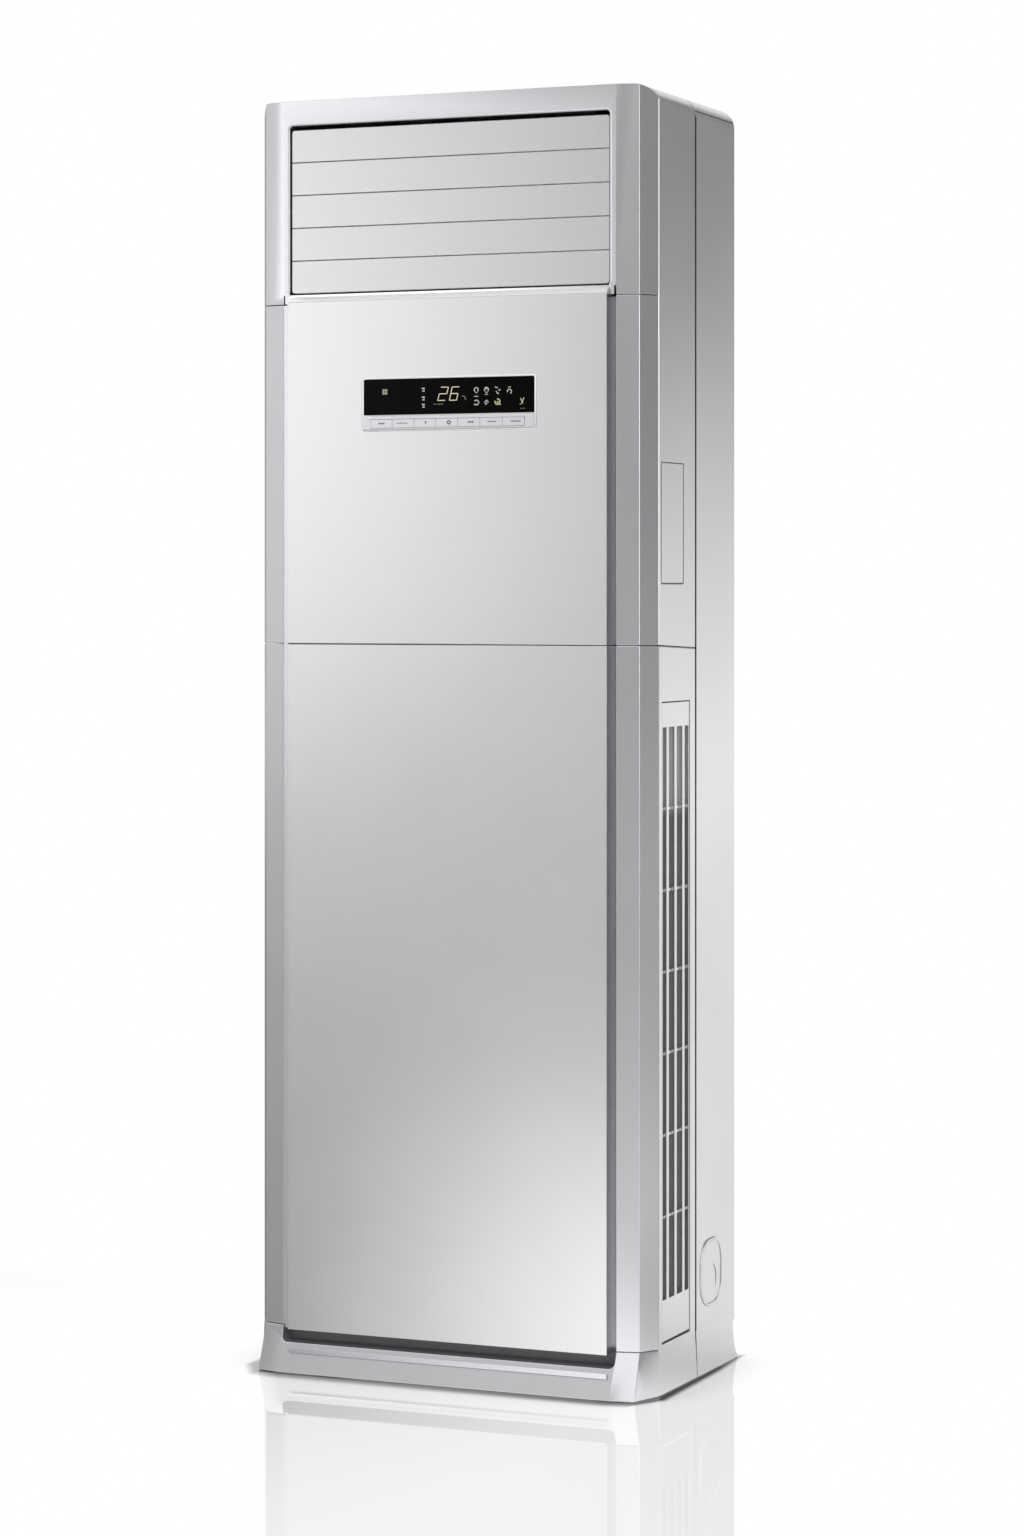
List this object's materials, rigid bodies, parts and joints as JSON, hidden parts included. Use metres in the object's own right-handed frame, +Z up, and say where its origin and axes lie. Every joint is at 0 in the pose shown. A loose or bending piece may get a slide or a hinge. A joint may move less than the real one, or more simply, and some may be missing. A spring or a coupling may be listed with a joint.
{
  "type": "floor standing air conditioner",
  "caption": "Tall slim cabinet indoor unit with tilting outlet louvres, swinging vanes, press keys under a dark display, tilt-out side intake grilles and an inner blower and coil.",
  "frame": {"origin": "on the floor under the middle of the cabinet's outer box", "axes": "+Z up, -Y out of the front panels, +X to the right-hand side seen from behind the front face towards the viewer's right"},
  "size_m": [0.636, 0.372, 1.852],
  "materials": {
    "silver_front": "satin metallic",
    "silver_panel": "satin metallic",
    "silver_blade": "satin metallic",
    "silver_side": "satin",
    "coated_steel": "satin",
    "black_window": "gloss",
    "strip_silver": "satin",
    "circuit_board": "matt",
    "dark_plastic": "matt",
    "motor_black": "satin",
    "filter_net": "matt",
    "zinc_steel": "spangled",
    "rubber_pad": "matt",
    "white_housing": "matt",
    "coil_aluminium": "satin",
    "copper_tube": "satin",
    "foam_white": "matt"
  },
  "bodies": {
    "cabinet": {"air_guide": "foam_white", "base_pan": "zinc_steel", "base_skirt": "silver_front", "control_box": "zinc_steel", "deck_plate": "zinc_steel", "display_board": "circuit_board", "display_window": "black_window", "drain_pan": "foam_white", "evaporator_core": "coil_aluminium", "evaporator_tubes": "copper_tube", "fan_motor": "motor_black", "foot_pads": "rubber_pad", "front_frame": "silver_front", "front_housing_lower": "silver_front", "front_housing_upper": "silver_front", "front_panel_lower": "silver_panel", "front_panel_upper": "silver_panel", "handle_covers": "silver_side", "inlet_ring": "white_housing", "key_strip": "strip_silver", "motor_bracket": "zinc_steel", "pipe_port_covers": "silver_side", "rear_plate": "coated_steel", "rear_side_left": "coated_steel", "rear_side_right": "coated_steel", "rear_top_cap": "silver_side", "refrigerant_pipes": "copper_tube", "scroll_housing": "white_housing", "side_panel_lower_left": "silver_side", "side_panel_lower_right": "silver_side", "side_panel_upper_left": "silver_side", "side_panel_upper_right": "silver_side", "sweep_motors": "motor_black", "top_cover": "silver_side"},
    "louver_1": {"louver_blade_1": "silver_blade"},
    "louver_2": {"louver_blade_2": "silver_blade"},
    "louver_3": {"louver_blade_3": "silver_blade"},
    "louver_4": {"louver_blade_4": "silver_blade"},
    "louver_5": {"louver_blade_5": "silver_blade"},
    "louver_bar": {"louver_link": "dark_plastic"},
    "deflector_1": {"vane_1": "dark_plastic"},
    "deflector_2": {"vane_2": "dark_plastic"},
    "deflector_3": {"vane_3": "dark_plastic"},
    "deflector_4": {"vane_4": "dark_plastic"},
    "deflector_5": {"vane_5": "dark_plastic"},
    "deflector_6": {"vane_6": "dark_plastic"},
    "deflector_bar": {"vane_link": "dark_plastic"},
    "button_1": {"key_1": "strip_silver"},
    "button_2": {"key_2": "strip_silver"},
    "button_3": {"key_3": "strip_silver"},
    "button_4": {"key_4": "strip_silver"},
    "button_5": {"key_5": "strip_silver"},
    "button_6": {"key_6": "strip_silver"},
    "button_7": {"key_7": "strip_silver"},
    "grille_right": {"intake_grille_right": "silver_side", "intake_filter_right": "filter_net"},
    "grille_left": {"intake_grille_left": "silver_side", "intake_filter_left": "filter_net"},
    "blower": {"blower_wheel": "white_housing"}
  },
  "joints": [
    {"name": "louver_1_tilt", "type": "hinge", "parent": "cabinet", "child": "louver_1", "pos_m": [0, -0.146, 1.7861], "axis": [-1, 0, 0], "range_deg": [0, 85]},
    {"name": "louver_2_tilt", "type": "hinge", "parent": "cabinet", "child": "louver_2", "pos_m": [0, -0.146, 1.7383], "axis": [-1, 0, 0], "range_deg": [0, 85]},
    {"name": "louver_3_tilt", "type": "hinge", "parent": "cabinet", "child": "louver_3", "pos_m": [0, -0.146, 1.6905], "axis": [-1, 0, 0], "range_deg": [0, 85]},
    {"name": "louver_4_tilt", "type": "hinge", "parent": "cabinet", "child": "louver_4", "pos_m": [0, -0.146, 1.6427], "axis": [-1, 0, 0], "range_deg": [0, 85]},
    {"name": "louver_5_tilt", "type": "hinge", "parent": "cabinet", "child": "louver_5", "pos_m": [0, -0.146, 1.5949], "axis": [-1, 0, 0], "range_deg": [0, 85]},
    {"name": "louver_bar_pin", "type": "hinge", "parent": "louver_1", "child": "louver_bar", "pos_m": [-0.2603, -0.1342, 1.79691], "axis": [-1, 0, 0], "range_deg": [-85, 0]},
    {"name": "vane_1_swing", "type": "hinge", "parent": "cabinet", "child": "deflector_1", "pos_m": [-0.20958, -0.1, 1.69], "axis": [0, 0, 1], "range_deg": [-35, 35]},
    {"name": "vane_2_swing", "type": "hinge", "parent": "cabinet", "child": "deflector_2", "pos_m": [-0.12575, -0.1, 1.69], "axis": [0, 0, 1], "range_deg": [-35, 35]},
    {"name": "vane_3_swing", "type": "hinge", "parent": "cabinet", "child": "deflector_3", "pos_m": [-0.04192, -0.1, 1.69], "axis": [0, 0, 1], "range_deg": [-35, 35]},
    {"name": "vane_4_swing", "type": "hinge", "parent": "cabinet", "child": "deflector_4", "pos_m": [0.04192, -0.1, 1.69], "axis": [0, 0, 1], "range_deg": [-35, 35]},
    {"name": "vane_5_swing", "type": "hinge", "parent": "cabinet", "child": "deflector_5", "pos_m": [0.12575, -0.1, 1.69], "axis": [0, 0, 1], "range_deg": [-35, 35]},
    {"name": "vane_6_swing", "type": "hinge", "parent": "cabinet", "child": "deflector_6", "pos_m": [0.20958, -0.1, 1.69], "axis": [0, 0, 1], "range_deg": [-35, 35]},
    {"name": "vane_bar_pin", "type": "hinge", "parent": "deflector_1", "child": "deflector_bar", "pos_m": [-0.20958, -0.066, 1.69], "axis": [0, 0, 1], "range_deg": [-35, 35]},
    {"name": "key_1_press", "type": "slide", "parent": "cabinet", "child": "button_1", "axis": [0, 1, 0], "range_m": [0, 0.001], "stiffness_N_per_m": 250},
    {"name": "key_2_press", "type": "slide", "parent": "cabinet", "child": "button_2", "axis": [0, 1, 0], "range_m": [0, 0.001], "stiffness_N_per_m": 250},
    {"name": "key_3_press", "type": "slide", "parent": "cabinet", "child": "button_3", "axis": [0, 1, 0], "range_m": [0, 0.001], "stiffness_N_per_m": 250},
    {"name": "key_4_press", "type": "slide", "parent": "cabinet", "child": "button_4", "axis": [0, 1, 0], "range_m": [0, 0.001], "stiffness_N_per_m": 250},
    {"name": "key_5_press", "type": "slide", "parent": "cabinet", "child": "button_5", "axis": [0, 1, 0], "range_m": [0, 0.001], "stiffness_N_per_m": 250},
    {"name": "key_6_press", "type": "slide", "parent": "cabinet", "child": "button_6", "axis": [0, 1, 0], "range_m": [0, 0.001], "stiffness_N_per_m": 250},
    {"name": "key_7_press", "type": "slide", "parent": "cabinet", "child": "button_7", "axis": [0, 1, 0], "range_m": [0, 0.001], "stiffness_N_per_m": 250},
    {"name": "grille_right_tilt", "type": "hinge", "parent": "cabinet", "child": "grille_right", "pos_m": [0.30712, -0.058, 0.076], "axis": [0, 1, 0], "range_deg": [0, 18]},
    {"name": "grille_left_tilt", "type": "hinge", "parent": "cabinet", "child": "grille_left", "pos_m": [-0.30712, -0.058, 0.076], "axis": [0, -1, 0], "range_deg": [0, 18]},
    {"name": "blower_spin", "type": "hinge", "parent": "cabinet", "child": "blower", "pos_m": [0, 0.068, 0.4], "axis": [0, 1, 0], "continuous": true}
  ],
  "couplings": [
    {"joint": "louver_2_tilt", "follows": "louver_1_tilt", "ratio": 1},
    {"joint": "louver_3_tilt", "follows": "louver_1_tilt", "ratio": 1},
    {"joint": "louver_4_tilt", "follows": "louver_1_tilt", "ratio": 1},
    {"joint": "louver_5_tilt", "follows": "louver_1_tilt", "ratio": 1},
    {"joint": "louver_bar_pin", "follows": "louver_1_tilt", "ratio": -1},
    {"joint": "vane_2_swing", "follows": "vane_1_swing", "ratio": 1},
    {"joint": "vane_3_swing", "follows": "vane_1_swing", "ratio": 1},
    {"joint": "vane_4_swing", "follows": "vane_1_swing", "ratio": 1},
    {"joint": "vane_5_swing", "follows": "vane_1_swing", "ratio": 1},
    {"joint": "vane_6_swing", "follows": "vane_1_swing", "ratio": 1},
    {"joint": "vane_bar_pin", "follows": "vane_1_swing", "ratio": -1}
  ]
}
